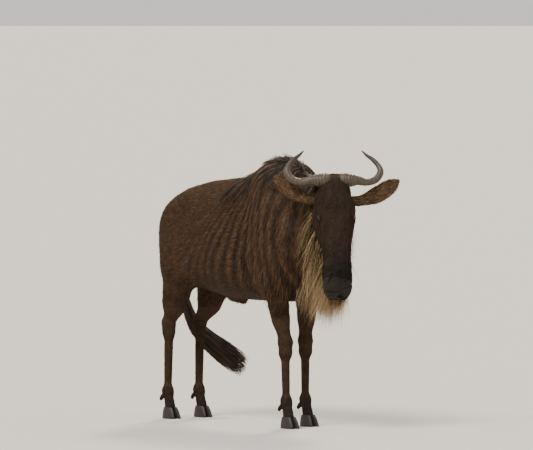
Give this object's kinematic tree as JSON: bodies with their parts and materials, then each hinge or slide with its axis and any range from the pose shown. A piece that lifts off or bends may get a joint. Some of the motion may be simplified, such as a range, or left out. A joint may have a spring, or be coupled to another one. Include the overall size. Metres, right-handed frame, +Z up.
{
  "type": "wildebeest",
  "caption": "Life-size standing wildebeest bull with a pale beard, brown brindled coat, upswept horns and its head turned to its right.",
  "frame": {"origin": "The middle of the figure's bounding box, on the ground under its hooves.", "axes": "+X runs from tail to breast, the way the body faces. +Y is the animal's left. +Z is up. The head is turned 31 degrees towards -Y."},
  "size_m": [1.6396, 0.7072, 1.3612],
  "materials": {
    "coat": "short dense brown hair with darker upright brindle stripes",
    "dark_hair": "near-black face, mane and tail hair, with a straw-pale beard",
    "horn": "grey-brown keratin, rough at the boss and smoother to the tips",
    "hoof": "dull dark keratin",
    "eye": "wet, very dark brown"
  },
  "bodies": {
    "root": {"ear_left": "coat", "ear_right": "coat", "eye_left": "eye", "eye_right": "eye", "foreleg_left_cannon": "coat", "foreleg_left_forearm": "coat", "foreleg_left_hoof_inner": "hoof", "foreleg_left_hoof_outer": "hoof", "foreleg_left_pastern": "coat", "foreleg_left_upper": "coat", "foreleg_right_cannon": "coat", "foreleg_right_forearm": "coat", "foreleg_right_hoof_inner": "hoof", "foreleg_right_hoof_outer": "hoof", "foreleg_right_pastern": "coat", "foreleg_right_upper": "coat", "head": "dark_hair", "hindleg_left_cannon": "coat", "hindleg_left_gaskin": "coat", "hindleg_left_hoof_inner": "hoof", "hindleg_left_hoof_outer": "hoof", "hindleg_left_pastern": "coat", "hindleg_left_thigh": "coat", "hindleg_right_cannon": "coat", "hindleg_right_gaskin": "coat", "hindleg_right_hoof_inner": "hoof", "hindleg_right_hoof_outer": "hoof", "hindleg_right_pastern": "coat", "hindleg_right_thigh": "coat", "horn_left": "horn", "horn_right": "horn", "neck": "coat", "tail": "coat", "tail_tuft": "dark_hair", "torso": "coat"}
  },
  "joints": []
}
